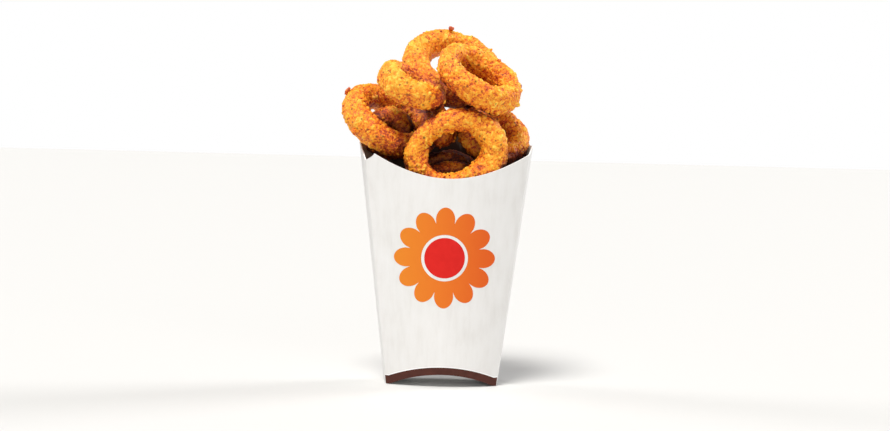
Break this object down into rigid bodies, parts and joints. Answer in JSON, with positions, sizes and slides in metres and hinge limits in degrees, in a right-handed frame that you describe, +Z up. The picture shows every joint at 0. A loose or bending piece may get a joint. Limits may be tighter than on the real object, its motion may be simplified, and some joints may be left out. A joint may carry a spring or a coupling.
{
  "type": "onion rings side",
  "caption": "A side order of crumbed fried onion rings heaped upright in a small scooped paperboard carton, open at the top.",
  "frame": {"origin": "on the surface it stands on, under the middle of the whole thing's bounding box", "axes": "+Z up, the longest way; the carton's low scooped front faces -Y; +X is to the right as the front is looked at"},
  "size_m": [0.1088, 0.0733, 0.1986],
  "materials": {
    "carton": "uncoated white paperboard with a printed brown band and orange badge",
    "crust": null
  },
  "bodies": {
    "root": {"carton": "carton", "ring_crown": "crust", "ring_upper_right": "crust", "ring_mid_left": "crust", "ring_left": "crust", "ring_front": "crust", "ring_right": "crust", "ring_inside_front": "crust", "ring_inside_back": "crust", "ring_nested": "crust", "ring_small": "crust", "ring_under_front": "crust", "ring_under_left": "crust", "ring_under_right": "crust", "ring_low_front": "crust", "ring_low_back": "crust"}
  },
  "joints": []
}
